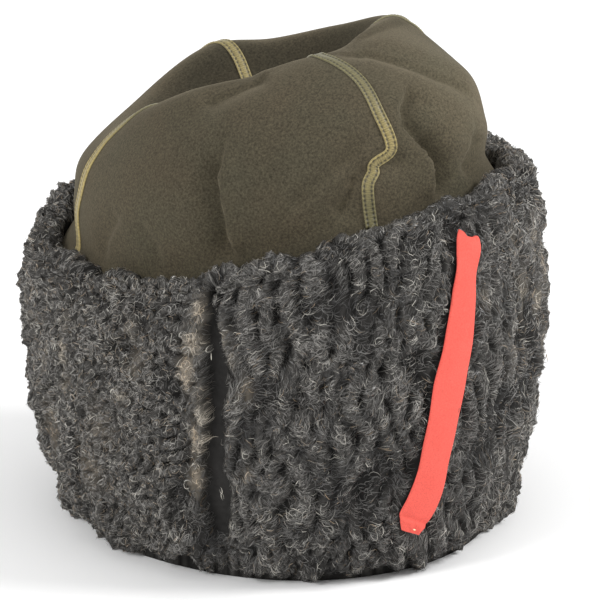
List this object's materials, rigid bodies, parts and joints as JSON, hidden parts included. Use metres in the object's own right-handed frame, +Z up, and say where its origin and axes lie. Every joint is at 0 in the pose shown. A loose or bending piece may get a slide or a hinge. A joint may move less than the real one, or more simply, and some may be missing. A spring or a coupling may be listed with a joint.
{
  "type": "kubanka hat",
  "caption": "Tall curled-fur band round a soft puffed cloth crown, with crossing braids on the crown and a slanting ribbon sewn down the front of the fur.",
  "frame": {"origin": "on the surface that the hat stands on, under the middle of the whole hat", "axes": "+Z up toward the crown, -Y toward the front with the ribbon, +X to the wearer's left"},
  "size_m": [0.206, 0.2325, 0.2059],
  "materials": {
    "fur": "curled charcoal lamb fur on a pelt",
    "wool_cloth": "milled wool cloth, dark olive brown, matt",
    "braid": "woven olive-gold braid, slightly lustrous",
    "ribbon": "woven red ribbon, soft sheen"
  },
  "bodies": {
    "root": {"fur_band": "fur", "crown": "wool_cloth", "braid_side": "braid", "braid_front": "braid", "ribbon": "ribbon"}
  },
  "joints": []
}
